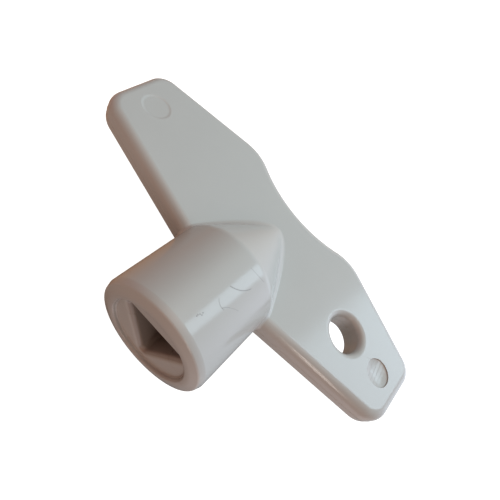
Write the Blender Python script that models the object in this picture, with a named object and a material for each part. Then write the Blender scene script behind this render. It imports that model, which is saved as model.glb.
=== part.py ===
"""Winged socket key: a round barrel with a three-sided socket, and two flat wings to turn it by.

The key is one plastic moulding. It is modelled about its barrel: the axis runs along +Y from the mouth at
y = 0, the wings spread along X, and z = 0 is the middle of their thickness. The finished key is then placed
with its origin at the middle of its underside, +Z up. Sizes are in millimetres and are turned into metres
where the meshes are made.
"""
import math

import bmesh
import bpy
from mathutils import Matrix, Vector

MM = 0.001

# Socket
DRIVE_INRADIUS = 2.65        # axis to each of the three sides
DRIVE_CORNER = 0.45
DRIVE_REACH = 2 * (DRIVE_INRADIUS - DRIVE_CORNER) + DRIVE_CORNER    # axis to each of the three corners
DRIVE_TURN = math.radians(6.0)    # how far the hole is turned out of square with the wings
DRIVE_LEAD_IN = 0.78         # rounding where the hole leaves the shelf
DRIVE_DEPTH = 14.0           # mouth to the bottom
DRIVE_DRAFT = 0.05           # how much the sides close in towards the bottom
SHELF_DEPTH = 0.55           # mouth to the shelf around the three-sided hole
CORNER_MARGIN = 0.88         # between the hole's corners and the recess's wall
SOCKET_RADIUS = DRIVE_REACH + CORNER_MARGIN    # round recess that leads into the socket
SOCKET_LIP = 0.4             # rounding of the recess's lip

# Barrel
RIM_WIDTH = 0.42             # flat ring of the mouth, between the lip and the outer rounding
MOUTH_ROUND = 1.45           # outer edge of the mouth
BARREL_RADIUS = SOCKET_RADIUS + SOCKET_LIP + RIM_WIDTH + MOUTH_ROUND    # at the mouth
BARREL_GROWTH = 0.12         # mould draft: how much the radius grows along the straight stretch
BARREL_LENGTH = 13.75        # mouth to the start of the cone
CONE_ANGLE = math.radians(26.0)   # between the cone's side and the axis
CONE_TIP_RADIUS = 0.4
CONE_LENGTH = (BARREL_RADIUS + BARREL_GROWTH - CONE_TIP_RADIUS) / math.tan(CONE_ANGLE)
CREASE_ROUND = 1.0           # softens the edge where the cone starts

# Wings
WING_THICKNESS = 4.45
WING_ROUND = 1.55            # rounding along the wings' rim, top and bottom
WING_HALF_SPAN = 31.25       # axis to the tip's furthest corner
WING_LEAD = 2.85             # from where the two front edges would meet on the axis to the cone's start
WING_FRONT = BARREL_LENGTH - WING_LEAD
FRONT_SWEEP = math.radians(10.3)
TIP_LENGTH = 12.4            # along Y, between the tip's two corners
TIP_LEAN = math.radians(5.3)
TIP_FRONT_RADIUS = 4.05
TIP_BACK_RADIUS = 3.25
BACK_SLOPE = math.radians(18.0)
SHOULDER_RADIUS = 7.8
WAIST_WALL = 2.22            # wing left between the cone's tip and the dip between the wings
WAIST = BARREL_LENGTH + CONE_LENGTH + WAIST_WALL
WAIST_RADIUS = 21.3
ROOT_FILLET = 0.7            # between barrel and wings

# Ring hole
RING_HOLE_RADIUS = 2.87
RING_HOLE_ROUND = 1.0
RING_HOLE_FROM_TIP = 12.95   # along X, from the tip's furthest corner
RING_HOLE_FROM_FRONT = 12.0  # along Y, from where the two front edges would meet

# Ejector pin marks on the upper face
MARK_RADIUS = 2.1
MARK_FROM_TIP = 5.55
MARK_FROM_FRONT = 11.7
MARK_DEPTHS = {1: 0.2, -1: 0.08}     # by wing: +X and -X

# Fineness
BARREL_SEGMENTS = 64
HOLE_SEGMENTS = 40
MARK_SEGMENTS = 32
ROUND_STEPS = 5
CORNER_STEPS = 8             # round the wings' larger corners
BEND_STEPS = 7               # round the tips' back corners and the dip
CREASE_STEPS = 3
FOOT_STATIONS = 12           # along the root fillet, from the cone's tip to the front rim
RIM_STATIONS = 6             # along the root fillet, round a quarter of the front rim
SOLVER_STEPS = 60            # halvings or repeats until a position no longer changes
MERGE_DISTANCE = 1e-4
OVERLAP = 1.0                # how far a cutter runs past the face it enters
SINK = 0.01                  # how far the root fillet's edges lie under the faces they meet
CORE_DEPTH = 0.2             # how far the fillet's hidden corner lies inside the solids


def polar(centre, radius, start, end, steps):
    """Points of an arc from one angle to another, both ends included."""
    angles = [start + (end - start) * i / steps for i in range(steps + 1)]
    return [Vector((centre[0] + radius * math.cos(a), centre[1] + radius * math.sin(a))) for a in angles]


def rounded_corner(before, corner, after, radius, steps):
    """The arc that rounds a convex corner of an outline that runs counterclockwise."""
    incoming = (corner - before).normalized()
    outgoing = (after - corner).normalized()
    turn = math.acos(max(-1.0, min(1.0, incoming.dot(outgoing))))
    start = corner - incoming * radius * math.tan(turn / 2)
    inward = Vector((-incoming.y, incoming.x))
    centre = start + inward * radius
    first = math.atan2(-inward.y, -inward.x)
    return polar(centre, radius, first, first + turn, steps)


def shoulder(tip_back):
    """Centre of the shoulder's arc, which touches the back edge and the waist's circle."""
    back = Vector((-math.cos(BACK_SLOPE), math.sin(BACK_SLOPE)))
    inward = Vector((-back.y, back.x))
    waist_centre = Vector((0.0, WAIST + WAIST_RADIUS))
    base = tip_back + inward * SHOULDER_RADIUS - waist_centre
    along = base.dot(back)
    reach = along * along - base.dot(base) + (WAIST_RADIUS + SHOULDER_RADIUS) ** 2
    return waist_centre + base + back * (-along - math.sqrt(reach)), waist_centre


def tip_corners():
    """Front and back corner of the +X wing's tip, before rounding."""
    front_x = WING_HALF_SPAN - TIP_LENGTH * math.tan(TIP_LEAN)
    front = Vector((front_x, WING_FRONT + front_x * math.tan(FRONT_SWEEP)))
    return front, Vector((WING_HALF_SPAN, front.y + TIP_LENGTH))


def wing_outline():
    """The wings' outline, counterclockwise from the front edges' meeting point."""
    root = Vector((0.0, WING_FRONT))
    tip_front, tip_back = tip_corners()
    centre, waist_centre = shoulder(tip_back)
    touch = (waist_centre - centre).normalized()
    touch_angle = math.atan2(touch.y, touch.x)
    waist_start = math.atan2(-touch.y, -touch.x)
    back_point = tip_back + Vector((-math.cos(BACK_SLOPE), math.sin(BACK_SLOPE)))
    half = [root]
    half += rounded_corner(root, tip_front, tip_back, TIP_FRONT_RADIUS, CORNER_STEPS)
    half += rounded_corner(tip_front, tip_back, back_point, TIP_BACK_RADIUS, BEND_STEPS)
    half += polar(centre, SHOULDER_RADIUS, math.pi / 2 - BACK_SLOPE, touch_angle, CORNER_STEPS)
    half += polar(waist_centre, WAIST_RADIUS, waist_start, -math.pi / 2, BEND_STEPS)[1:]
    mirrored = [Vector((-p.x, p.y)) for p in reversed(half[1:-1])]
    return half + mirrored


def barrel_radius(y):
    """Radius of the barrel's straight stretch at a distance from the mouth."""
    return BARREL_RADIUS + BARREL_GROWTH * y / BARREL_LENGTH


def new_object(name, bm):
    """Wrap a finished bmesh, in millimetres, as an object in metres with its faces pointing out."""
    bmesh.ops.remove_doubles(bm, verts=bm.verts, dist=MERGE_DISTANCE)
    bmesh.ops.recalc_face_normals(bm, faces=bm.faces)
    bmesh.ops.scale(bm, vec=(MM, MM, MM), verts=bm.verts)
    mesh = bpy.data.meshes.new(name)
    bm.to_mesh(mesh)
    bm.free()
    obj = bpy.data.objects.new(name, mesh)
    bpy.context.scene.collection.objects.link(obj)
    return obj


def turned(name, profile, axis, centre, steps):
    """A solid turned about an axis from a profile of (along, radius) points that starts and ends on it."""
    bm = bmesh.new()
    side = Vector((1.0, 0.0, 0.0))
    axis = Vector(axis)
    verts = [bm.verts.new(Vector(centre) + axis * along + side * radius) for along, radius in profile]
    edges = [bm.edges.new(pair) for pair in zip(verts, verts[1:])]
    bmesh.ops.spin(bm, geom=verts + edges, cent=centre, axis=axis, angle=math.tau, steps=steps,
                   use_merge=True)
    return new_object(name, bm)


def skinned(name, sections, closed):
    """A solid skinned over sections of equal point count, capped at its ends unless it is a ring."""
    bm = bmesh.new()
    loops = [[bm.verts.new(p) for p in section] for section in sections]
    pairs = list(zip(loops, loops[1:]))
    if closed:
        pairs.append((loops[-1], loops[0]))
    for first, second in pairs:
        for i in range(len(first)):
            bm.faces.new((first[i - 1], first[i], second[i], second[i - 1]))
    if not closed:
        bm.faces.new(loops[0])
        bm.faces.new(loops[-1])
    return new_object(name, bm)


def make_wings():
    """The flat double wing, with its rim rounded above and below."""
    bm = bmesh.new()
    half = WING_THICKNESS / 2
    face = bm.faces.new([bm.verts.new((p.x, p.y, -half)) for p in wing_outline()])
    rise = bmesh.ops.extrude_face_region(bm, geom=[face])
    top = [v for v in rise["geom"] if isinstance(v, bmesh.types.BMVert)]
    bmesh.ops.translate(bm, vec=(0, 0, WING_THICKNESS), verts=top)
    rim = [e for e in bm.edges if abs(e.verts[0].co.z - e.verts[1].co.z) < MERGE_DISTANCE]
    bmesh.ops.bevel(bm, geom=rim, offset=WING_ROUND, offset_type="OFFSET", affect="EDGES",
                    segments=ROUND_STEPS, profile=0.5, material=-1)
    return new_object("winged_key", bm)


def make_barrel():
    """The barrel with its rounded mouth edge and the cone that fades into the wings."""
    profile = [(0.0, 0.0)]
    flat = BARREL_RADIUS - MOUTH_ROUND
    for p in polar((MOUTH_ROUND, flat), MOUTH_ROUND, math.pi, math.pi / 2, ROUND_STEPS + 1):
        profile.append((p.x, p.y))
    crease = BARREL_LENGTH - CREASE_ROUND * math.tan(CONE_ANGLE / 2)
    centre = (crease, BARREL_RADIUS + BARREL_GROWTH - CREASE_ROUND)
    for p in polar(centre, CREASE_ROUND, math.pi / 2, math.pi / 2 - CONE_ANGLE, CREASE_STEPS):
        profile.append((p.x, p.y))
    profile.append((BARREL_LENGTH + CONE_LENGTH, CONE_TIP_RADIUS))
    profile.append((BARREL_LENGTH + CONE_LENGTH, 0.0))
    return turned("barrel", profile, (0, 1, 0), (0, 0, 0), BARREL_SEGMENTS)


def ball_reach(y, ball):
    """How far from the axis a ball on the barrel has its centre, and the tilt of the surface under it."""
    turn_y = BARREL_LENGTH - CREASE_ROUND * math.tan(CONE_ANGLE / 2)
    end_radius = BARREL_RADIUS + BARREL_GROWTH
    arc = CREASE_ROUND + ball
    if y <= turn_y:
        return barrel_radius(y) + ball, 0.0
    if y <= turn_y + arc * math.sin(CONE_ANGLE):
        tilt = math.asin((y - turn_y) / arc)
        return end_radius - CREASE_ROUND + arc * math.cos(tilt), tilt
    cone_start = end_radius - CREASE_ROUND + arc * math.cos(CONE_ANGLE)
    return cone_start - (y - turn_y - arc * math.sin(CONE_ANGLE)) * math.tan(CONE_ANGLE), CONE_ANGLE


def rest_on_barrel(y, height, ball):
    """Where a ball at this height touches the barrel: its centre's x, and the direction to the barrel."""
    reach, tilt = ball_reach(y, ball)
    x = math.sqrt(max(0.0, reach * reach - height * height))
    return x, Vector((-math.cos(tilt) * x / reach, -math.sin(tilt), -math.cos(tilt) * height / reach))


def root_stations():
    """Where a ball of the root fillet's radius rests as it rolls round the barrel's foot.

    Each station is the ball's centre, with the directions from it to the barrel and to the wing. The
    stations cover the quarter from the cone's tip over the upper face to the middle of the front rim.
    """
    ball = ROOT_FILLET
    level = WING_THICKNESS / 2 + ball
    outward = Vector((math.sin(FRONT_SWEEP), -math.cos(FRONT_SWEEP), 0))
    along = Vector((math.cos(FRONT_SWEEP), math.sin(FRONT_SWEEP), 0))
    rim = []
    turns = [math.pi / 2 * i / RIM_STATIONS for i in range(RIM_STATIONS + 1)]
    for turn, rise in [(a, 1.0) for a in turns] + [(math.pi / 2, 0.0)]:
        height = (WING_THICKNESS / 2 - WING_ROUND) * rise + (WING_ROUND + ball) * math.cos(turn)
        ahead = (WING_ROUND + ball) * math.sin(turn) - WING_ROUND
        y = WING_FRONT
        for _ in range(SOLVER_STEPS):
            x, inward = rest_on_barrel(y, height, ball)
            run = (x - ahead * outward.x) / along.x
            y = WING_FRONT + run * along.y + ahead * outward.y
        rim.append((Vector((x, y, height)), inward,
                    -(outward * math.sin(turn) + Vector((0, 0, math.cos(turn))))))
    near, far = rim[0][0].y, BARREL_LENGTH + BARREL_RADIUS / math.tan(CONE_ANGLE)
    for _ in range(SOLVER_STEPS):
        middle = (near + far) / 2
        near, far = (middle, far) if ball_reach(middle, ball)[0] > level else (near, middle)
    stations = []
    for i in range(FOOT_STATIONS):
        y = near - (near - rim[0][0].y) * (i / FOOT_STATIONS) ** 2
        x, inward = rest_on_barrel(y, level, ball)
        if i == 0:
            x, inward = 0.0, Vector((0, inward.y, inward.z))
        stations.append((Vector((x, y, level)), inward, Vector((0, 0, -1))))
    return stations + rim


def root_section(station):
    """The fillet's section: its arc, closed through a point inside the solids."""
    centre, inward, wing = station
    radius = ROOT_FILLET + SINK
    spread = inward.angle(wing)
    points = []
    for i in range(ROUND_STEPS):
        share = i / (ROUND_STEPS - 1)
        direction = wing * math.sin((1 - share) * spread) + inward * math.sin(share * spread)
        points.append(centre + direction.normalized() * radius)
    points.append(centre + (inward + wing) * (ROOT_FILLET + CORE_DEPTH))
    return points


def make_root_fillet():
    """The ring of material that rounds the inside corner between barrel and wings."""
    quarter = [root_section(s) for s in root_stations()]
    flips = [(1, 1), (1, -1), (-1, -1), (-1, 1)]
    sections = []
    for step, (sx, sz) in enumerate(flips):
        part = [[Vector((p.x * sx, p.y, p.z * sz)) for p in section] for section in quarter]
        if step % 2:
            part.reverse()
        sections += part[1:]
    return skinned("root_fillet", sections, closed=True)


def make_socket_recess():
    """Cutter for the round recess at the mouth, flared at its lip."""
    lip = SOCKET_RADIUS + SOCKET_LIP
    profile = [(-OVERLAP, 0.0), (-OVERLAP, lip)]
    for p in polar((SOCKET_LIP, lip), SOCKET_LIP, math.pi, 1.5 * math.pi, ROUND_STEPS - 1):
        profile.append((p.x, p.y))
    profile += [(SHELF_DEPTH, SOCKET_RADIUS), (SHELF_DEPTH, 0.0)]
    return turned("socket_recess", profile, (0, 1, 0), (0, 0, 0), BARREL_SEGMENTS)


def drive_section(y, spread):
    """The three-sided hole's section, flat side up, widened all round by a distance."""
    corner = DRIVE_CORNER + max(spread, 0.0)
    reach = 2 * (DRIVE_INRADIUS + spread - corner)
    points = []
    for side in range(3):
        facing = math.radians(30 + 120 * side) + DRIVE_TURN
        centre = (reach * math.cos(facing), reach * math.sin(facing))
        for p in polar(centre, corner, facing - math.pi / 3, facing + math.pi / 3, ROUND_STEPS):
            points.append(Vector((p.x, y, p.y)))
    return points


def make_drive_hole():
    """Cutter for the three-sided hole, with its draft. Its rounded lead-in stops at the recess's wall."""
    sections = [drive_section(SHELF_DEPTH - SINK, DRIVE_LEAD_IN)]
    for i in range(ROUND_STEPS):
        turn = math.pi / 2 * i / (ROUND_STEPS - 1)
        depth = SHELF_DEPTH + DRIVE_LEAD_IN * (1 - math.cos(turn))
        sections.append(drive_section(depth, DRIVE_LEAD_IN * (1 - math.sin(turn))))
    sections.append(drive_section(DRIVE_DEPTH, -DRIVE_DRAFT))
    hole = skinned("drive_hole", sections, closed=False)
    radius, end = SOCKET_RADIUS - SINK, DRIVE_DEPTH + OVERLAP
    core = turned("drive_core", [(-OVERLAP, 0.0), (-OVERLAP, radius), (end, radius), (end, 0.0)], (0, 1, 0),
                  (0, 0, 0), BARREL_SEGMENTS)
    combine(hole, core, "INTERSECT")
    return hole


def make_ring_hole():
    """Cutter for the ring hole, rounded at both faces."""
    half = WING_THICKNESS / 2
    edge = RING_HOLE_RADIUS + RING_HOLE_ROUND
    upper = [(p.x, p.y) for p in polar((half - RING_HOLE_ROUND, edge), RING_HOLE_ROUND,
                                       1.5 * math.pi, math.tau, ROUND_STEPS + 1)]
    upper += [(half + OVERLAP, edge), (half + OVERLAP, 0.0)]
    lower = [(-along, radius) for along, radius in reversed(upper)]
    centre = (WING_HALF_SPAN - RING_HOLE_FROM_TIP, WING_FRONT + RING_HOLE_FROM_FRONT, 0)
    return turned("ring_hole", lower + upper, (0, 0, 1), centre, HOLE_SEGMENTS)


def make_mark(side, depth):
    """Cutter for the shallow round mark that an ejector pin leaves."""
    bm = bmesh.new()
    height = depth + OVERLAP
    place = Matrix.Translation((side * (WING_HALF_SPAN - MARK_FROM_TIP), WING_FRONT + MARK_FROM_FRONT,
                                WING_THICKNESS / 2 - depth + height / 2))
    bmesh.ops.create_cone(bm, cap_ends=True, segments=MARK_SEGMENTS, radius1=MARK_RADIUS, radius2=MARK_RADIUS,
                          depth=height, matrix=place)
    return new_object("mark_plus" if side > 0 else "mark_minus", bm)


def combine(target, tool, operation):
    """Add, cut away or intersect a solid, and keep it as a hidden guide."""
    modifier = target.modifiers.new(tool.name, "BOOLEAN")
    modifier.operation = operation
    modifier.solver = "EXACT"
    modifier.object = tool
    tool.hide_render = True
    tool.display_type = "WIRE"
    tool.parent = target


def plastic():
    """Light grey moulded plastic with a soft gloss."""
    material = bpy.data.materials.new("grey_plastic")
    material.use_nodes = True
    shader = material.node_tree.nodes["Principled BSDF"]
    shader.inputs["Base Color"].default_value = (0.42, 0.43, 0.42, 1.0)
    shader.inputs["Roughness"].default_value = 0.38
    shader.inputs["Metallic"].default_value = 0.0
    return material


def main():
    for obj in list(bpy.data.objects):
        bpy.data.objects.remove(obj, do_unlink=True)
    key = make_wings()
    combine(key, make_barrel(), "UNION")
    combine(key, make_root_fillet(), "UNION")
    combine(key, make_socket_recess(), "DIFFERENCE")
    combine(key, make_drive_hole(), "DIFFERENCE")
    combine(key, make_ring_hole(), "DIFFERENCE")
    for side, depth in MARK_DEPTHS.items():
        combine(key, make_mark(side, depth), "DIFFERENCE")
    key.data.shade_smooth()
    key.data.set_sharp_from_angle(angle=math.radians(35))
    key.data.materials.append(plastic())
    shoulder_centre, _ = shoulder(tip_corners()[1])
    length = shoulder_centre.y + SHOULDER_RADIUS
    key.location = Vector((0.0, -length / 2, BARREL_RADIUS + BARREL_GROWTH)) * MM


main()
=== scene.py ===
"""Winged socket key: one light grey plastic moulding, with a plain stage to look at it on.

The moulding is built about its barrel, as it was designed: the barrel's axis runs along +Y from the mouth at
y = 0, the wings spread along X, and z = 0 is the parting plane, the middle of the wings' thickness. It is
then moved to its place in the row frame, where its object sits at the origin.
"""

import math

import bmesh
import bpy
from bpy.props import FloatProperty, FloatVectorProperty, PointerProperty
from bpy.types import Operator, Panel, PropertyGroup
from mathutils import Matrix, Quaternion, Vector


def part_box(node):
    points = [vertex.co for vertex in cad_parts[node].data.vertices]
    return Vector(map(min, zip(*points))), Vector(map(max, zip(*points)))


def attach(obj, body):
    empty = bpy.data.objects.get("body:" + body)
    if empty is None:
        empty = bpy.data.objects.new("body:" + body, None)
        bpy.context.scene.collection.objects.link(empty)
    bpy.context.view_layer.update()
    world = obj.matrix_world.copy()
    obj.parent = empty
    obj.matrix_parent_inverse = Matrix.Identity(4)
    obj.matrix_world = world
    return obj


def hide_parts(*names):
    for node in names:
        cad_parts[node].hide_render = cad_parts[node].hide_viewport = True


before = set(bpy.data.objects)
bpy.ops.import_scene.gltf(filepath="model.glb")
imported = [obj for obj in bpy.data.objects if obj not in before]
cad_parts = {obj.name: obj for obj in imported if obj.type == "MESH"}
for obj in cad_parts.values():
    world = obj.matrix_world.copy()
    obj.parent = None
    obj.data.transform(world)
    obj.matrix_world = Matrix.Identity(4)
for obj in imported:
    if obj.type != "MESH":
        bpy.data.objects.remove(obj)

bl_info = {
    "name": "Winged socket key",
    "version": (1, 0, 0),
    "blender": (4, 5, 0),
    "location": "View3D > Sidebar > Socket key",
    "description": "Builds a moulded winged key with a three-sided socket, and a stage for it",
    "category": "Add Mesh",
}

NODE = "winged_key"
LOW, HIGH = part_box(NODE)
MM = 0.001
PLACE = Vector((0.0, LOW.y, (LOW.z + HIGH.z) / 2))   # the mouth's centre in the row frame
BARREL_END_RADIUS = (HIGH.z - LOW.z) / 2
SOLID_TOLERANCE = 1e-8
LEVEL_TOLERANCE = 1e-7


# ---------------------------------------------------------------------------------------------------------
# Settings
# ---------------------------------------------------------------------------------------------------------

def length(name, description, millimetres):
    """A length that a user can change, given in millimetres and kept in metres."""
    return FloatProperty(name=name, description=description, default=millimetres * MM, min=0.0, precision=5,
                         unit="LENGTH")


def angle(name, description, degrees):
    """An angle that a user can change."""
    return FloatProperty(name=name, description=description, default=math.radians(degrees), subtype="ANGLE")


def share(name, description, value):
    """A number from 0 to 1 that a user can change."""
    return FloatProperty(name=name, description=description, default=value, min=0.0, max=1.0,
                         subtype="FACTOR")


def colour(name, description, rgb):
    """A linear colour that a user can change."""
    return FloatVectorProperty(name=name, description=description, default=rgb, min=0.0, max=1.0, size=3,
                               subtype="COLOR")


class BarrelSizes(PropertyGroup):
    """The round body that holds the socket, and the cone behind it."""
    draft: length("Draft", "How much wider the barrel is at the cone than at the mouth, in radius", 0.12)
    straight: length("Straight length", "From the mouth to the start of the cone", 13.75)
    cone: angle("Cone angle", "Between the cone's side and the barrel's axis", 26.0)
    crease: length("Crease radius", "Softens the edge where the cone starts", 2.2)
    mouth_round: length("Mouth rounding", "Width of the mouth's rounded outer edge", 1.45)
    mouth_length: length("Mouth rounding length", "From the mouth to the end of its rounding", 1.15)
    mouth_edge: length("Mouth edge radius", "Of the tightest edge in the mouth's rounding", 0.4)


class WingSizes(PropertyGroup):
    """The flat double wing."""
    thickness: length("Thickness", "Of the wings", 4.45)
    rim_round: length("Rim rounding", "Radius along the wings' rim, above and below", 1.55)
    half_span: length("Half span", "From the axis to the tip's furthest corner, before rounding", 31.25)
    front: length("Front", "From the mouth to where the two front edges would meet", 10.9)
    sweep: angle("Front sweep", "How far the front edges lean back", 10.3)
    tip: length("Tip length", "Of the straight end of a wing", 12.4)
    tip_lean: angle("Tip lean", "How far the end of a wing leans outwards", 5.3)
    back_slope: angle("Back slope", "How far the back edges lean", 18.0)
    waist: length("Waist", "From the mouth to the lowest point of the dip between the wings", 31.8)
    root_fillet: length("Root fillet", "Rounds the inside corner between barrel and wings", 0.7)
    cone_fillet: length("Cone fillet", "What the root fillet grows to at the cone's tip", 2.0)
    flash: length("Parting line", "Height of the fine ridge that the mould leaves round the rim", 0.045)


class SocketSizes(PropertyGroup):
    """The three-sided socket and the round recess that leads into it."""
    recess: length("Recess radius", "Of the round recess at the mouth", 5.73)
    lip: length("Lip rounding", "Radius of the recess's lip", 0.32)
    shelf: length("Shelf depth", "From the mouth to the shelf round the three-sided hole", 0.55)
    inradius: length("Hole inradius", "From the axis to each of the three sides", 2.65)
    corner: length("Corner radius", "In the three corners of the hole", 0.45)
    turn: angle("Turn", "How far the hole is turned out of square with the wings", 6.0)
    lead_in: length("Lead-in", "Rounding where the hole leaves the shelf", 0.78)
    depth: length("Depth", "From the mouth to the bottom of the hole", 14.0)
    draft: length("Draft", "How much the three sides close in towards the bottom", 0.05)


class WingDetails(PropertyGroup):
    """The ring hole and the marks of the ejector pins."""
    hole_radius: length("Ring hole radius", "At its narrowest", 2.87)
    hole_round: length("Ring hole rounding", "Radius of its edge at both faces", 1.0)
    hole_x: length("Ring hole X", "From the axis", 18.3)
    hole_y: length("Ring hole Y", "From the mouth", 22.9)
    mark_radius: length("Mark radius", "Of an ejector pin's mark", 2.1)
    mark_x: length("Mark X", "From the axis, on each wing", 25.7)
    mark_y: length("Mark Y", "From the mouth", 22.6)
    deep_mark: length("Deep mark", "Depth of the mark on the wing with the ring hole", 0.2)
    deep_slope: length("Deep mark's slope", "Width over which its wall rises", 0.08)
    faint_mark: length("Faint mark", "Depth of the mark on the plain wing", 0.08)
    faint_slope: length("Faint mark's slope", "Width over which its wall rises", 0.5)


class Finish(PropertyGroup):
    """The look of the plastic."""
    base: colour("Plastic", "Colour of the moulded plastic", (0.42, 0.43, 0.42))
    roughness: share("Roughness", "Of the clean surface", 0.16)
    bloom: share("Bloom", "How much the roughness drifts over the surface", 0.03)
    grain: length("Grain", "Height of the surface's fine unevenness", 0.0015)
    scratch_depth: length("Scratch depth", "Of the fine scratches", 0.012)
    # Partly painted shade: the scratches are real marks in the bump and roughness, and their darker colour
    # stands in for the reflection that they break
    scratch_dark: share("Scratch dirt", "How much the scratches darken the plastic", 0.55)
    # Painted shade: darkens the walls of the three-sided hole below the shelf, and the foot of the recess's
    # wall
    painted_shade: colour("Socket wear", "Colour of the rubbed sides of the socket", (0.27, 0.235, 0.21))
    # Painted shade: darkens the three-sided hole more and more towards its bottom
    deep_painted_shade: colour("Socket grime", "Colour of the greasy plastic deep in the socket", (0.09, 0.07, 0.065))


class StageSettings(PropertyGroup):
    """Floor, lights and camera."""
    azimuth: angle("Azimuth", "Of the camera, round the key", -0.13)
    elevation: angle("Elevation", "Of the camera, above the horizon", 50.23)
    roll: angle("Roll", "Of the camera, about its line of sight", 50.40)
    distance: length("Distance", "From the camera to the point that it looks at", 55.92)
    lens: FloatProperty(name="Lens", description="Focal length in millimetres, on a 36 mm sensor",
                        default=26.91, min=1.0)
    floor: colour("Floor", "Colour of the floor", (0.3, 0.3, 0.3))
    glow: share("Glow", "Light that the floor gives off itself, which keeps its shadows pale", 1.0)


SETTINGS = {
    "barrel": BarrelSizes,
    "wings": WingSizes,
    "socket": SocketSizes,
    "details": WingDetails,
    "finish": Finish,
    "stage": StageSettings,
}


class KeySettings(PropertyGroup):
    """All of the key's settings."""
    __annotations__ = {name: PointerProperty(type=group) for name, group in SETTINGS.items()}


# ---------------------------------------------------------------------------------------------------------
# Mesh tools
# ---------------------------------------------------------------------------------------------------------

BARREL_SEGMENTS = 192
ROUND_STEPS = 12
RING_HOLE_STEPS = 16
HOLE_SEGMENTS = 96
OVERRUN = 1.0 * MM           # how far a cutter runs past the face that it enters
WELD_DISTANCE = 0.0005 * MM  # under this, points that the cuts leave count as one
SINK = 0.01 * MM             # how far the root fillet's edges lie under the faces that they meet


def arc(centre, radius, start, end, steps):
    """Points of an arc from one angle to another, both ends included."""
    angles = [start + (end - start) * i / steps for i in range(steps + 1)]
    return [Vector((centre[0] + radius * math.cos(a), centre[1] + radius * math.sin(a))) for a in angles]


def rounded_corner(before, corner, after, radius, steps):
    """The arc that rounds a convex corner of an outline that runs counterclockwise."""
    incoming = (corner - before).normalized()
    outgoing = (after - corner).normalized()
    turn = math.acos(max(-1.0, min(1.0, incoming.dot(outgoing))))
    start = corner - incoming * radius * math.tan(turn / 2)
    inward = Vector((-incoming.y, incoming.x))
    first = math.atan2(-inward.y, -inward.x)
    return arc(start + inward * radius, radius, first, first + turn, steps)


def finished_mesh(bm):
    """Weld a bmesh, turn its faces outwards and hand it over as a mesh."""
    bmesh.ops.remove_doubles(bm, verts=bm.verts, dist=SOLID_TOLERANCE)
    bmesh.ops.recalc_face_normals(bm, faces=bm.faces)
    mesh = bpy.data.meshes.new("moulding")
    bm.to_mesh(mesh)
    bm.free()
    return mesh


def add_object(name, mesh):
    """Put a mesh in the scene as an object at the origin."""
    obj = bpy.data.objects.new(name, mesh)
    bpy.context.scene.collection.objects.link(obj)
    return obj


def turned(profile, axis, centre, steps):
    """A solid turned about an axis from a profile of (along, radius) points that starts and ends on it."""
    bm = bmesh.new()
    axis = Vector(axis)
    side = Vector((1.0, 0.0, 0.0))
    verts = [bm.verts.new(Vector(centre) + axis * along + side * radius) for along, radius in profile]
    edges = [bm.edges.new(pair) for pair in zip(verts, verts[1:])]
    bmesh.ops.spin(bm, geom=verts + edges, cent=centre, axis=axis, angle=math.tau, steps=steps,
                   use_merge=True)
    return finished_mesh(bm)


def bridged(sections, ring):
    """A solid skinned over closed sections, joined into a ring or capped at both ends."""
    bm = bmesh.new()
    loops = []
    for section in sections:
        verts = [bm.verts.new(p) for p in section]
        loops.append([bm.edges.new((verts[i - 1], verts[i])) for i in range(len(verts))])
    pairs = list(zip(loops, loops[1:]))
    if ring:
        pairs.append((loops[-1], loops[0]))
    for first, second in pairs:
        bmesh.ops.bridge_loops(bm, edges=first + second)
    if not ring:
        for loop in (loops[0], loops[-1]):
            bmesh.ops.contextual_create(bm, geom=loop)
    return finished_mesh(bm)


def joined(blank, steps):
    """Add solids to a blank and cut others away, in order, and return the result as one mesh."""
    work = add_object("blank", blank)
    tools = []
    for mesh, operation in steps:
        tool = add_object("tool", mesh)
        modifier = work.modifiers.new("cut", "BOOLEAN")
        modifier.operation = operation
        modifier.solver = "EXACT"
        modifier.object = tool
        tools.append(tool)
    bpy.context.view_layer.update()
    graph = bpy.context.evaluated_depsgraph_get()
    mesh = bpy.data.meshes.new_from_object(work.evaluated_get(graph))
    for obj in [work] + tools:
        old = obj.data
        bpy.data.objects.remove(obj)
        bpy.data.meshes.remove(old)
    return mesh


def welded(mesh):
    """Close the hairline gaps and drop the slivers that the cuts leave."""
    bm = bmesh.new()
    bm.from_mesh(mesh)
    bmesh.ops.remove_doubles(bm, verts=bm.verts, dist=WELD_DISTANCE)
    bmesh.ops.dissolve_degenerate(bm, edges=bm.edges, dist=WELD_DISTANCE)
    bm.to_mesh(mesh)
    bm.free()
    return mesh


# ---------------------------------------------------------------------------------------------------------
# The moulding
# ---------------------------------------------------------------------------------------------------------

TIP_FRONT_RADIUS = 4.05 * MM
TIP_BACK_RADIUS = 3.25 * MM
SHOULDER_RADIUS = 7.8 * MM
WAIST_RADIUS = 21.3 * MM
CONE_TIP_RADIUS = 0.4 * MM
MOUTH_BROW = (0.36 * MM, 0.3 * MM)     # the mouth's tightest edge: behind its face, and inside its side
MOUTH_FACE_RADIUS = 2.0 * MM
HOLDING_WIDTH = 0.1 * MM     # of the ring of faces that keeps the shading of the barrel's side straight
FLASH_INSET = 0.06 * MM      # the rim lies this far inside the outline, which leaves room for the flash
FLASH_HALF_WIDTH = 0.13 * MM
TIP_FRONT_STEPS = 20
TIP_BACK_STEPS = 18
BACK_STEPS = 24              # along the shoulder, and along half of the waist
SIDE_RINGS = 8               # of faces along the barrel's side, and along the cone
FOOT_STATIONS = 40           # along the root fillet, from the cone's tip to the front rim
RIM_STATIONS = 18            # along the root fillet, round a quarter of the front rim
RIM_ROUNDS = 40              # of settling the fillet's ball between the barrel and the rim
FOOT_HALVINGS = 60           # of the stretch in which the fillet's ball meets the cone's tip
FILLET_BACKING = 20 * SINK   # how far the root fillet's section reaches into the solids
SHARP_ANGLE = math.radians(32)
FLAT_WEIGHT = 90             # how firmly the large flat faces set the normals next to them


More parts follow.
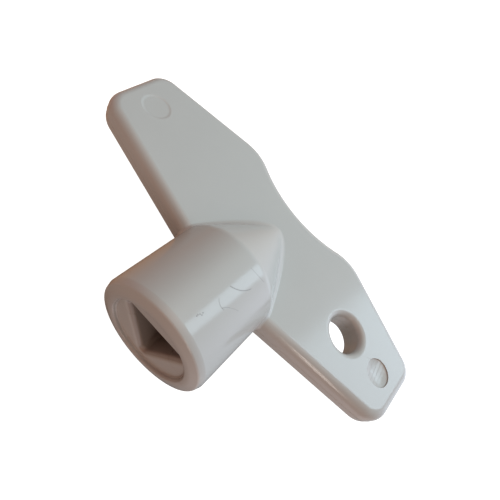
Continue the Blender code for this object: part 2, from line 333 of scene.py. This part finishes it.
def tip_corners(wings):
    """Front and back corner of the +X wing's tip, before rounding."""
    front_x = wings.half_span - wings.tip * math.tan(wings.tip_lean)
    front = Vector((front_x, wings.front + front_x * math.tan(wings.sweep)))
    return front, Vector((wings.half_span, front.y + wings.tip))


def wing_outline(wings):
    """The wings' outline, counterclockwise from the front edges' meeting point."""
    root = Vector((0.0, wings.front))
    tip_front, tip_back = tip_corners(wings)
    back = Vector((-math.cos(wings.back_slope), math.sin(wings.back_slope)))
    inward = Vector((-back.y, back.x))
    waist_centre = Vector((0.0, wings.waist + WAIST_RADIUS))
    base = tip_back + inward * SHOULDER_RADIUS - waist_centre
    along = base.dot(back)
    reach = along * along - base.dot(base) + (WAIST_RADIUS + SHOULDER_RADIUS) ** 2
    centre = waist_centre + base + back * (-along - math.sqrt(reach))
    touch = (waist_centre - centre).normalized()
    half = [root]
    half += rounded_corner(root, tip_front, tip_back, TIP_FRONT_RADIUS, TIP_FRONT_STEPS)
    half += rounded_corner(tip_front, tip_back, tip_back + back, TIP_BACK_RADIUS, TIP_BACK_STEPS)
    half += arc(centre, SHOULDER_RADIUS, math.pi / 2 - wings.back_slope, math.atan2(touch.y, touch.x),
                BACK_STEPS)
    half += arc(waist_centre, WAIST_RADIUS, math.atan2(-touch.y, -touch.x), -math.pi / 2, BACK_STEPS)[1:]
    return half + [Vector((-p.x, p.y)) for p in reversed(half[1:-1])]


def inset_outline(points, distance):
    """The outline moved inwards by a distance."""
    moved = []
    for i, point in enumerate(points):
        incoming = (point - points[i - 1]).normalized()
        outgoing = (points[(i + 1) % len(points)] - point).normalized()
        first = Vector((-incoming.y, incoming.x))
        second = Vector((-outgoing.y, outgoing.x))
        middle = (first + second).normalized()
        moved.append(point + middle * (distance / middle.dot(first)))
    return moved


def wing_blank(wings):
    """The flat double wing: rounded rim, and the fine ridge of the parting line round its middle."""
    bm = bmesh.new()
    half = wings.thickness / 2
    outline = inset_outline(wing_outline(wings), FLASH_INSET)
    face = bm.faces.new([bm.verts.new((p.x, p.y, -half)) for p in outline])
    rise = bmesh.ops.extrude_face_region(bm, geom=[face])
    top = [v for v in rise["geom"] if isinstance(v, bmesh.types.BMVert)]
    bmesh.ops.translate(bm, vec=(0, 0, wings.thickness), verts=top)
    rim = [e for e in bm.edges if abs(e.verts[0].co.z - e.verts[1].co.z) < SOLID_TOLERANCE]
    bmesh.ops.bevel(bm, geom=rim, offset=wings.rim_round, offset_type="OFFSET", affect="EDGES",
                    segments=ROUND_STEPS, profile=0.5, material=-1)
    for level in (-FLASH_HALF_WIDTH, 0.0, FLASH_HALF_WIDTH):
        bmesh.ops.bisect_plane(bm, geom=bm.verts[:] + bm.edges[:] + bm.faces[:], dist=SOLID_TOLERANCE,
                               plane_co=(0, 0, level), plane_no=(0, 0, 1))
    bm.normal_update()
    crest = [v for v in bm.verts if abs(v.co.z) < LEVEL_TOLERANCE]
    outwards = {v: Vector((v.normal.x, v.normal.y, 0)).normalized() for v in crest}
    for v, direction in outwards.items():
        v.co += direction * wings.flash
    return finished_mesh(bm)


def barrel_blank(barrel):
    """The barrel with its rounded mouth edge, and the cone that fades into the wings."""
    mouth_radius = BARREL_END_RADIUS - barrel.draft
    face_edge = Vector((0.0, mouth_radius - barrel.mouth_round))
    brow = Vector((MOUTH_BROW[0], mouth_radius - MOUTH_BROW[1]))
    side_edge = Vector((barrel.mouth_length, mouth_radius))
    rounded_face = rounded_corner(brow, face_edge, Vector((0.0, 0.0)), MOUTH_FACE_RADIUS, ROUND_STEPS)
    rounded_brow = rounded_corner(side_edge, brow, face_edge, barrel.mouth_edge, ROUND_STEPS)
    profile = [(0.0, 0.0)] + [tuple(p) for p in reversed(rounded_brow + rounded_face)]
    profile += [tuple(side_edge), (barrel.mouth_length + HOLDING_WIDTH, mouth_radius)]
    crease_y = barrel.straight - barrel.crease * math.tan(barrel.cone / 2)
    for i in range(1, SIDE_RINGS):
        y = barrel.mouth_length + (crease_y - barrel.mouth_length) * i / SIDE_RINGS
        profile.append((y, mouth_radius + barrel.draft * y / barrel.straight))
    profile += [tuple(p) for p in arc((crease_y, BARREL_END_RADIUS - barrel.crease), barrel.crease,
                                      math.pi / 2, math.pi / 2 - barrel.cone, ROUND_STEPS)]
    end = barrel.straight + (BARREL_END_RADIUS - CONE_TIP_RADIUS) / math.tan(barrel.cone)
    start_y, start_radius = profile[-1]
    for i in range(1, SIDE_RINGS + 1):
        profile.append((start_y + (end - start_y) * i / SIDE_RINGS,
                        start_radius + (CONE_TIP_RADIUS - start_radius) * i / SIDE_RINGS))
    profile.append((end, 0.0))
    return turned(profile, (0, 1, 0), (0, 0, 0), BARREL_SEGMENTS)


def ball_reach(barrel, y, ball):
    """How far from the axis a ball on the barrel has its centre, and the tilt of the surface under it."""
    crease_y = barrel.straight - barrel.crease * math.tan(barrel.cone / 2)
    turn = barrel.crease + ball
    if y <= crease_y:
        return BARREL_END_RADIUS - barrel.draft * (1 - y / barrel.straight) + ball, 0.0
    if y <= crease_y + turn * math.sin(barrel.cone):
        tilt = math.asin((y - crease_y) / turn)
        return BARREL_END_RADIUS - barrel.crease + turn * math.cos(tilt), tilt
    cone_start = BARREL_END_RADIUS - barrel.crease + turn * math.cos(barrel.cone)
    return cone_start - (y - crease_y - turn * math.sin(barrel.cone)) * math.tan(barrel.cone), barrel.cone


def rest_on_barrel(barrel, y, height, ball):
    """Where a ball at this height touches the barrel: its centre's x, and the direction to the barrel."""
    reach, tilt = ball_reach(barrel, y, ball)
    x = math.sqrt(max(0.0, reach * reach - height * height))
    return x, Vector((-math.cos(tilt) * x / reach, -math.sin(tilt), -math.cos(tilt) * height / reach))


def rim_stations(barrel, wings):
    """The ball's stations as it rolls over the front rim, from the upper face to the parting plane."""
    ball = wings.root_fillet
    outward = Vector((math.sin(wings.sweep), -math.cos(wings.sweep), 0))
    along = Vector((math.cos(wings.sweep), math.sin(wings.sweep), 0))
    turns = [(math.pi / 2 * i / RIM_STATIONS, 1.0) for i in range(RIM_STATIONS + 1)] + [(math.pi / 2, 0.0)]
    stations = []
    for turn, rise in turns:
        height = (wings.thickness / 2 - wings.rim_round) * rise + (wings.rim_round + ball) * math.cos(turn)
        ahead = (wings.rim_round + ball) * math.sin(turn) - wings.rim_round - FLASH_INSET
        y = wings.front
        for _ in range(RIM_ROUNDS):
            x, inward = rest_on_barrel(barrel, y, height, ball)
            run = (x - ahead * outward.x) / along.x
            y = wings.front + run * along.y + ahead * outward.y
        stations.append((Vector((x, y, height)), inward,
                         -(outward * math.sin(turn) + Vector((0, 0, math.cos(turn)))), ball))
    return stations


def foot_stations(barrel, wings, last_y):
    """The ball's stations on the upper face, from the cone's tip to the front rim.

    They crowd at the tip, where the ball turns fastest, and most of the ball's shrinking is near the rim.
    """
    ball = wings.cone_fillet
    near, far = last_y, barrel.straight + BARREL_END_RADIUS / math.tan(barrel.cone)
    for _ in range(FOOT_HALVINGS):
        middle = (near + far) / 2
        above = ball_reach(barrel, middle, ball)[0] > wings.thickness / 2 + ball
        near, far = (middle, far) if above else (near, middle)
    stations = []
    for i in range(FOOT_STATIONS):
        part = i / FOOT_STATIONS
        y = near - (near - last_y) * part ** 2
        ball = wings.cone_fillet + (wings.root_fillet - wings.cone_fillet) * part ** 3
        level = wings.thickness / 2 + ball
        x, inward = rest_on_barrel(barrel, y, level, ball)
        if i == 0:
            x, inward = 0.0, Vector((0, inward.y, inward.z))
        stations.append((Vector((x, y, level)), inward, Vector((0, 0, -1)), ball))
    return stations


def fillet_section(station):
    """The root fillet's section: its arc, closed through a point inside the solids."""
    centre, inward, wing, ball = station
    spread = inward.angle(wing)
    points = []
    for i in range(ROUND_STEPS + 1):
        part = i / ROUND_STEPS
        direction = wing * math.sin((1 - part) * spread) + inward * math.sin(part * spread)
        points.append(centre + direction.normalized() * (ball + SINK))
    points.append(centre + (inward + wing) * (ball + FILLET_BACKING))
    return points


def root_fillet(barrel, wings):
    """The ring of material that rounds the inside corner between barrel and wings."""
    rim = rim_stations(barrel, wings)
    stations = foot_stations(barrel, wings, rim[0][0].y) + rim
    quarter = [fillet_section(s) for s in stations]
    sections = []
    for step, (sx, sz) in enumerate([(1, 1), (1, -1), (-1, -1), (-1, 1)]):
        part = [[Vector((p.x * sx, p.y, p.z * sz)) for p in section] for section in quarter]
        if step % 2:
            part.reverse()
        sections += part[1:]
    return bridged(sections, ring=True)


def recess_cutter(socket):
    """Cutter for the round recess at the mouth, flared at its lip and rounded at its foot."""
    lip = socket.recess + socket.lip
    profile = [(-OVERRUN, 0.0), (-OVERRUN, lip)]
    profile += [tuple(p) for p in arc((socket.lip, lip), socket.lip, math.pi, 1.5 * math.pi, ROUND_STEPS)]
    foot = socket.shelf - socket.lip
    profile += [tuple(p) for p in arc((socket.lip, socket.recess - foot), foot, math.pi / 2, 0.0,
                                      ROUND_STEPS)]
    profile.append((socket.lip + foot, 0.0))
    return turned(profile, (0, 1, 0), (0, 0, 0), BARREL_SEGMENTS)


def drive_section(socket, y, spread):
    """The three-sided hole's section, flat side up, widened all round by a distance."""
    corner = socket.corner + max(spread, 0.0)
    reach = 2 * (socket.inradius + spread - corner)
    points = []
    for side in range(3):
        facing = math.radians(30 + 120 * side) + socket.turn
        centre = (reach * math.cos(facing), reach * math.sin(facing))
        for p in arc(centre, corner, facing - math.pi / 3, facing + math.pi / 3, ROUND_STEPS):
            points.append(Vector((p.x, y, p.y)))
    return points


def drive_cutter(socket):
    """Cutter for the three-sided hole, with its draft. Its rounded lead-in stops at the recess's wall."""
    sections = [drive_section(socket, socket.shelf - SINK, socket.lead_in)]
    for i in range(ROUND_STEPS + 1):
        turn = math.pi / 2 * i / ROUND_STEPS
        sections.append(drive_section(socket, socket.shelf + socket.lead_in * (1 - math.cos(turn)),
                                      socket.lead_in * (1 - math.sin(turn))))
    sections.append(drive_section(socket, socket.depth, -socket.draft))
    radius, end = socket.recess - SINK, socket.depth + OVERRUN
    core = turned([(-OVERRUN, 0.0), (-OVERRUN, radius), (end, radius), (end, 0.0)], (0, 1, 0), (0, 0, 0),
                  BARREL_SEGMENTS)
    return joined(bridged(sections, ring=False), [(core, "INTERSECT")])


def ring_hole_cutter(wings, details):
    """Cutter for the ring hole, rounded at both faces."""
    half = wings.thickness / 2
    edge = details.hole_radius + details.hole_round
    upper = [tuple(p) for p in arc((half - details.hole_round, edge), details.hole_round,
                                   1.5 * math.pi, math.tau, RING_HOLE_STEPS)]
    upper += [(half + OVERRUN, edge), (half + OVERRUN, 0.0)]
    lower = [(-along, radius) for along, radius in reversed(upper)]
    return turned(lower + upper, (0, 0, 1), (details.hole_x, details.hole_y, 0), HOLE_SEGMENTS)


def mark_cutter(wings, details, side, depth, slope):
    """Cutter for the shallow round mark that an ejector pin leaves. Its wall slopes over a width."""
    top = wings.thickness / 2
    profile = [(top - depth, 0.0)]
    for i in range(ROUND_STEPS + 1):
        part = i / ROUND_STEPS
        rise = part * part * (3 - 2 * part)
        profile.append((top - depth * (1 - rise), details.mark_radius + slope * (part - 0.5)))
    edge = profile[-1][1]
    profile += [(top + OVERRUN, edge), (top + OVERRUN, 0.0)]
    return turned(profile, (0, 0, 1), (side * details.mark_x, details.mark_y, 0), HOLE_SEGMENTS)


def build_moulding(settings):
    """The whole key as one closed mesh, in its place in the row frame."""
    wings, barrel, socket, details = settings.wings, settings.barrel, settings.socket, settings.details
    mesh = welded(joined(wing_blank(wings), [
        (barrel_blank(barrel), "UNION"),
        (root_fillet(barrel, wings), "UNION"),
        (recess_cutter(socket), "DIFFERENCE"),
        (drive_cutter(socket), "DIFFERENCE"),
        (ring_hole_cutter(wings, details), "DIFFERENCE"),
        (mark_cutter(wings, details, 1, details.deep_mark, details.deep_slope), "DIFFERENCE"),
        (mark_cutter(wings, details, -1, details.faint_mark, details.faint_slope), "DIFFERENCE"),
    ]))
    mesh.name = "key_moulding"
    mesh.transform(Matrix.Translation(PLACE))
    mesh.shade_smooth()
    mesh.set_sharp_from_angle(angle=SHARP_ANGLE)
    key = add_object("key_moulding", mesh)
    normals = key.modifiers.new("flat faces stay flat", "WEIGHTED_NORMAL")
    normals.keep_sharp = True
    normals.weight = FLAT_WEIGHT
    return key


# ---------------------------------------------------------------------------------------------------------
# Plastic
# ---------------------------------------------------------------------------------------------------------

class Value:
    """A number that a shader works out, with Python's operators for its sums."""

    def __init__(self, tree, socket):
        self.tree = tree
        self.socket = socket

    def sum(self, operation, *others):
        """A Math node on this value and others."""
        return self.tree.node("ShaderNodeMath", {"operation": operation}, self, *others)

    def __add__(self, other):
        return self.sum("ADD", other)

    def __sub__(self, other):
        return self.sum("SUBTRACT", other)

    def __rsub__(self, other):
        return self.tree.node("ShaderNodeMath", {"operation": "SUBTRACT"}, other, self)

    def __mul__(self, other):
        return self.sum("MULTIPLY", other)

    def __pow__(self, other):
        return self.sum("POWER", other)

    def __lt__(self, other):
        return self.sum("LESS_THAN", other)

    def __gt__(self, other):
        return self.sum("GREATER_THAN", other)

    def __abs__(self):
        return self.sum("ABSOLUTE")

    __radd__ = __add__
    __rmul__ = __mul__


class ShaderTree:
    """Builds the nodes of a material or a world."""

    def __init__(self, owner, shader):
        owner.use_nodes = True
        self.nodes = owner.node_tree.nodes
        self.links = owner.node_tree.links
        self.shader = self.nodes[shader]

    def node(self, kind, settings, *inputs, output=0, **named):
        """Add a node, set it up, feed its sockets with values or links, and return one of its outputs."""
        node = self.nodes.new(kind)
        for key, value in settings.items():
            setattr(node, key, value)
        for key, value in list(enumerate(inputs)) + list(named.items()):
            self.feed(node.inputs[key], value)
        return Value(self, node.outputs[output])

    def feed(self, socket, value):
        """Give a socket a link or a constant."""
        if isinstance(value, Value):
            self.links.new(value.socket, socket)
        else:
            socket.default_value = value

    def mixed(self, factor, first, second):
        """A Mix node between two colours."""
        node = self.node("ShaderNodeMix", {"data_type": "RGBA"}).socket.node
        colours = [socket for socket in node.inputs if socket.type == "RGBA"]
        self.feed(node.inputs["Factor"], factor)
        self.feed(colours[0], first)
        self.feed(colours[1], second)
        return Value(self, [socket for socket in node.outputs if socket.type == "RGBA"][0])

    def band(self, value, edge, soft):
        """1 where a value is under an edge, fading to 0 over a soft width past it."""
        return self.node("ShaderNodeMapRange", {"interpolation_type": "SMOOTHSTEP"}, value,
                         edge, edge + soft, 1.0, 0.0)


def circle_distance(x, y, centre, radius):
    """Distance of a point in plan from a circle's line."""
    dx, dy = x - centre[0], y - centre[1]
    return abs((dx * dx + dy * dy) ** 0.5 - radius)


# Hairline scratches on the barrel, in millimetres: each arc's centre (x, y) and radius, the corners of the
# box in plan that it runs in, and its strength
SCRATCHES = [
    ((-0.22, 11.48), 3.41, (1.18, 8.2), (3.12, 10.8), 0.85),
    ((2.22, 6.95), 1.06, (1.2, 5.8), (2.75, 6.3), 0.6),
    ((4.6, 5.24), 2.25, (2.4, 5.9), (3.03, 6.9), 0.5),
    ((6.0, 4.6), 3.7, (3.0, 6.7), (4.0, 7.8), 0.3),
    ((-1.06, 24.07), 12.0, (1.2, 11.8), (3.6, 13.4), 0.4),
]
SCRATCH_HALF_WIDTH = 0.035
SPECKS = [(1.24, 2.86), (1.22, 3.06), (1.32, 3.3), (1.52, 3.42), (1.42, 3.68)]
SPECK_RADIUS = 0.05
SCRATCH_ROUGHNESS = 0.2
CORNER_SHADE_WIDTH = 0.15 * MM       # half the width of the painted shade at the foot of the recess's wall
CORNER_SHADE_SHARE = 0.45
PAINTED_SHADE_FADE = 0.2 * MM         # over which the socket's painted shade sets in, from the shelf
DEEP_PAINTED_SHADE_FADE = 7.0 * MM        # over which the socket's deeper painted shade sets in, from the shelf
TOOL_SPACING = 0.58 * MM     # between the milled lines that the ejector pin printed in the deep mark
TOOL_WANDER = 0.25 * MM
TOOL_DIRECTION = (0.995, 0.1)    # in plan, across the lines
TOOL_SHARPNESS = 8.0         # the larger, the narrower the lines between their gaps
TOOL_DARK = 0.16
TOOL_DEPTH = 0.012 * MM
TOOL_REACH = 0.2 * MM        # how far past the mark's middle the lines run before they fade
TOOL_FADE = 1.2 * MM
LINED_SHARE = 0.85           # of the mark's radius
LINED_FADE = 0.12
PARTING_HALF_WIDTH = 0.03 * MM
PARTING_FADE = 0.06 * MM
PARTING_HEIGHT = 0.02 * MM
PALE, DEEP, MARK_TONE = 1.03, 0.96, 0.2      # brightness of the plastic's extremes, against its base colour
WAVE_HEIGHT, GRAIN_HEIGHT = 2.0, 0.25    # against the finish's grain
PLASTIC_IOR = 1.5

# The plastic's unevenness: each noise's scale per metre and its detail
NOISES = {
    "drift": (120.0, 3.0),
    "waves": (420.0, 1.0),
    "grain": (5200.0, 2.0),
}


def scratch_mask(tree, x, y):
    """1 on the hairline scratches and specks of the barrel, 0 elsewhere."""
    total = 0.0
    for centre, radius, (left, front), (right, back), strength in SCRATCHES:
        middle = tuple(c * MM for c in centre)
        line = tree.band(circle_distance(x, y, middle, radius * MM), SCRATCH_HALF_WIDTH * MM,
                         SCRATCH_HALF_WIDTH * MM)
        inside = (x > left * MM) * (x < right * MM) * (y > front * MM) * (y < back * MM)
        total = line * inside * strength + total
    for place in SPECKS:
        middle = tuple(c * MM for c in place)
        total = tree.band(circle_distance(x, y, middle, 0.0), SPECK_RADIUS * MM, SPECK_RADIUS * MM) + total
    return total


def make_plastic(settings):
    """Light grey moulded plastic: soft gloss, slight waviness, mould lines, fine scratches and painted
    shade.
    """
    finish, details = settings.finish, settings.details
    material = bpy.data.materials.new("grey_plastic")
    tree = ShaderTree(material, "Principled BSDF")
    place = tree.node("ShaderNodeTexCoord", {}, output="Object")
    local = tree.node("ShaderNodeVectorMath", {"operation": "SUBTRACT"}, place, tuple(PLACE))
    split = tree.node("ShaderNodeSeparateXYZ", {}, local).socket.node
    x, y, z = (Value(tree, split.outputs[i]) for i in range(3))

    drift, waves, grain = (
        tree.node("ShaderNodeTexNoise", {}, output="Fac", Vector=local, Scale=scale, Detail=detail)
        for scale, detail in NOISES.values())
    scratches = scratch_mask(tree, x, y) * (z > 0.0)

    from_axis = (x * x + z * z) ** 0.5
    in_socket = (from_axis < settings.socket.recess) * (y < settings.socket.depth + SINK)
    # Painted shade: a soft dark line in the corner at the foot of the recess's wall
    in_foot = tree.band(abs(from_axis - settings.socket.recess), CORNER_SHADE_WIDTH, CORNER_SHADE_WIDTH)
    painted_darkening = in_foot * (y > SINK) * (y < settings.socket.shelf + SINK) * CORNER_SHADE_SHARE
    # Painted shade on the hole's walls below the shelf, together with the dark line at the recess's foot
    painted_shade = in_socket * (1.0 - tree.band(y, settings.socket.shelf, PAINTED_SHADE_FADE)) + painted_darkening
    # Painted shade, darker and darker down the hole from the shelf
    deep_painted_shade = in_socket * (1.0 - tree.band(y, settings.socket.shelf, DEEP_PAINTED_SHADE_FADE))
    from_mark = ((x - details.mark_x) ** 2.0 + (y - details.mark_y) ** 2.0) ** 0.5
    in_mark = tree.band(from_mark, details.mark_radius * LINED_SHARE, details.mark_radius * LINED_FADE)
    in_mark = in_mark * (z > 0.0) * tree.band(x, details.mark_x + TOOL_REACH, TOOL_FADE)
    across = x * TOOL_DIRECTION[0] + y * TOOL_DIRECTION[1] + waves * TOOL_WANDER
    ripple = (across * (math.tau / TOOL_SPACING)).sum("SINE") * 0.5 + 0.5
    tool_lines = ripple ** TOOL_SHARPNESS * in_mark

    deep, pale, mark_tone = (tuple(c * brightness for c in finish.base) + (1.0,)
                         for brightness in (DEEP, PALE, MARK_TONE))
    plastic = tree.mixed(drift, deep, pale)
    # The scratches' darker colour is painted shade, standing in for the reflection that they break; the
    # milled lines in the deep mark darken too
    marked = tree.mixed(scratches * finish.scratch_dark + tool_lines * TOOL_DARK, plastic, mark_tone)
    # The socket's painted shade goes into the base colour, the hole's deeper painted shade last
    with_painted_shade = tree.mixed(painted_shade, marked, tuple(finish.painted_shade) + (1.0,))
    tree.feed(tree.shader.inputs["Base Color"], tree.mixed(deep_painted_shade, with_painted_shade, tuple(finish.deep_painted_shade) + (1.0,)))

    roughness = drift * (2 * finish.bloom) + (finish.roughness - finish.bloom)
    tree.feed(tree.shader.inputs["Roughness"], roughness + scratches * SCRATCH_ROUGHNESS)

    parting = tree.band(abs(z), PARTING_HALF_WIDTH, PARTING_FADE)
    height = (waves * (finish.grain * WAVE_HEIGHT) + grain * (finish.grain * GRAIN_HEIGHT)
              + parting * PARTING_HEIGHT - tool_lines * TOOL_DEPTH - scratches * finish.scratch_depth)
    bump = tree.node("ShaderNodeBump", {}, Height=height, Distance=1.0, Strength=1.0)
    tree.feed(tree.shader.inputs["Normal"], bump)
    tree.shader.inputs["IOR"].default_value = PLASTIC_IOR
    return material


# ---------------------------------------------------------------------------------------------------------
# Stage
# ---------------------------------------------------------------------------------------------------------

LOOK_AT = Vector((-0.471, 20.62, 0.0)) * MM      # in the moulding's own frame
FLOOR_SIZE = 3.0
BACKDROP = (1.0, 1.0, 1.0, 1.0)
FLOOR_ROUGHNESS = 0.9
SENSOR_WIDTH = 36.0
NEAR_CLIP, FAR_CLIP = 0.001, 20.0
LAMP_DISTANCE = 0.6
DOME_FOCUS = 7.0             # how tightly each glow of the dome keeps to its direction

# The dome's soft glows: azimuth and elevation in degrees, and colour
GLOWS = {
    "top": (0, 90, (1.6, 1.22, 1.02)),
    "back high": (180, 50, (0.78, 1.28, 1.4)),
    "back low": (180, 10, (0.83, 0.66, 0.54)),
    "right": (135, 10, (1.7, 1.82, 2.15)),
    "left": (270, 10, (0.29, 0.0, 0.0)),
    "front": (0, 10, (0.87, 0.42, 0.26)),
    "below front right": (60, -32, (1.22, 1.1, 1.1)),
    "below back right": (120, -32, (0.31, 0.34, 0.34)),
    "below back left": (240, -32, (0.48, 0.23, 0.09)),
    "below front left": (300, -32, (0.5, 0.44, 0.38)),
}

# Softboxes: azimuth, elevation, tilt, width and height in degrees as the key sees them, and colour
SOFTBOXES = {
    "window": (140.5, 45.5, 30, 19, 36, (2.5, 3.2, 3.7)),
    "strip": (39, 21, 0, 6, 30, (6.6, 5.9, 5.4)),
}


def direction(azimuth, elevation):
    """Unit vector towards an azimuth and elevation. Azimuth 0 is towards -Y and 90 towards +X."""
    a, e = math.radians(azimuth), math.radians(elevation)
    return Vector((math.sin(a) * math.cos(e), -math.cos(a) * math.cos(e), math.sin(e)))


def make_camera(stage):
    """The camera, rolled about its line of sight."""
    back = direction(math.degrees(stage.azimuth), math.degrees(stage.elevation))
    right = Vector((0, 0, 1)).cross(back).normalized()
    up = back.cross(right)
    turned_right = right * math.cos(stage.roll) + up * math.sin(stage.roll)
    turned_up = up * math.cos(stage.roll) - right * math.sin(stage.roll)
    data = bpy.data.cameras.new("camera")
    data.sensor_width = SENSOR_WIDTH
    data.lens = stage.lens
    data.clip_start = NEAR_CLIP
    data.clip_end = FAR_CLIP
    camera = bpy.data.objects.new("camera", data)
    basis = Matrix((turned_right, turned_up, back)).transposed().to_4x4()
    camera.matrix_world = Matrix.Translation(PLACE + LOOK_AT + back * stage.distance) @ basis
    bpy.context.scene.collection.objects.link(camera)
    bpy.context.scene.camera = camera


def make_softbox(name, azimuth, elevation, tilt, width, height, rgb):
    """A rectangular lamp that faces the key, with its radiance given by a colour."""
    data = bpy.data.lights.new(name, "AREA")
    data.shape = "RECTANGLE"
    data.size = 2 * LAMP_DISTANCE * math.tan(math.radians(width) / 2)
    data.size_y = 2 * LAMP_DISTANCE * math.tan(math.radians(height) / 2)
    data.energy = data.size * data.size_y * math.pi * max(rgb)
    data.color = tuple(channel / max(rgb) for channel in rgb)
    lamp = bpy.data.objects.new(name, data)
    towards = direction(azimuth, elevation)
    lamp.location = PLACE + LOOK_AT + towards * LAMP_DISTANCE
    lamp.rotation_mode = "QUATERNION"
    lamp.rotation_quaternion = (towards.to_track_quat("Z", "Y")
                                @ Quaternion((0.0, 0.0, 1.0), math.radians(tilt)))
    bpy.context.scene.collection.objects.link(lamp)


def make_dome():
    """The world: soft light whose colour changes gently with direction, behind a plain pale backdrop."""
    world = bpy.data.worlds.new("studio")
    tree = ShaderTree(world, "Background")
    towards = tree.node("ShaderNodeTexCoord", {}, output="Generated")
    total = (0.0, 0.0, 0.0)
    for azimuth, elevation, rgb in GLOWS.values():
        facing = tree.node("ShaderNodeVectorMath", {"operation": "DOT_PRODUCT"}, towards,
                           tuple(direction(azimuth, elevation)), output="Value")
        glow = ((facing - 1.0) * DOME_FOCUS).sum("EXPONENT")
        tint = tree.node("ShaderNodeVectorMath", {"operation": "SCALE"}, rgb, Scale=glow)
        total = tree.node("ShaderNodeVectorMath", {"operation": "ADD"}, tint, total)
    seen = tree.node("ShaderNodeLightPath", {}, output="Is Camera Ray")
    tree.feed(tree.shader.inputs["Color"], tree.mixed(seen, total, BACKDROP))
    bpy.context.scene.world = world


def make_floor(stage):
    """A plain pale floor."""
    bm = bmesh.new()
    bmesh.ops.create_grid(bm, x_segments=1, y_segments=1, size=FLOOR_SIZE)
    mesh = bpy.data.meshes.new("floor")
    bm.to_mesh(mesh)
    bm.free()
    floor = add_object("floor", mesh)
    paint = bpy.data.materials.new("floor")
    paint.use_nodes = True
    shader = paint.node_tree.nodes["Principled BSDF"]
    shader.inputs["Base Color"].default_value = tuple(stage.floor) + (1.0,)
    shader.inputs["Roughness"].default_value = FLOOR_ROUGHNESS
    shader.inputs["Emission Color"].default_value = BACKDROP
    shader.inputs["Emission Strength"].default_value = stage.glow
    mesh.materials.append(paint)
    floor.visible_diffuse = False
    floor.visible_glossy = False
    floor.visible_shadow = False


# ---------------------------------------------------------------------------------------------------------
# Operators and panel
# ---------------------------------------------------------------------------------------------------------

class KEY_OT_moulding(Operator):
    """Build the key's moulding and give it its plastic"""
    bl_idname = "socket_key.moulding"
    bl_label = "Key moulding"

    def execute(self, context):
        settings = context.scene.socket_key
        key = build_moulding(settings)
        key.data.materials.clear()
        key.data.materials.append(make_plastic(settings))
        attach(key, "root")
        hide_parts(NODE)
        return {"FINISHED"}


class KEY_OT_stage(Operator):
    """Set up the floor, the lights and the camera"""
    bl_idname = "socket_key.stage"
    bl_label = "Stage"

    def execute(self, context):
        stage = context.scene.socket_key.stage
        make_floor(stage)
        make_dome()
        for name, softbox in SOFTBOXES.items():
            make_softbox(name, *softbox)
        make_camera(stage)
        context.scene.view_settings.view_transform = "Standard"
        return {"FINISHED"}


class KEY_PT_panel(Panel):
    """The key's settings and its building steps"""
    bl_idname = "KEY_PT_panel"
    bl_label = "Socket key"
    bl_space_type = "VIEW_3D"
    bl_region_type = "UI"
    bl_category = "Socket key"

    def draw(self, context):
        settings = context.scene.socket_key
        for name, group in SETTINGS.items():
            box = self.layout.box()
            box.label(text=name.capitalize())
            for key in group.__annotations__:
                box.prop(getattr(settings, name), key)
        self.layout.operator(KEY_OT_moulding.bl_idname)
        self.layout.operator(KEY_OT_stage.bl_idname)


CLASSES = (*SETTINGS.values(), KeySettings, KEY_OT_moulding, KEY_OT_stage, KEY_PT_panel)


def register():
    """Make the classes known, and hang the settings on the scene."""
    for cls in CLASSES:
        bpy.utils.register_class(cls)
    bpy.types.Scene.socket_key = PointerProperty(type=KeySettings)


def unregister():
    """Take the settings and the classes away again."""
    del bpy.types.Scene.socket_key
    for cls in reversed(CLASSES):
        bpy.utils.unregister_class(cls)


def main():
    """Build everything."""
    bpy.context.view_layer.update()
    register()
    bpy.ops.socket_key.moulding()
    bpy.ops.socket_key.stage()


if __name__ == "__main__":
    main()
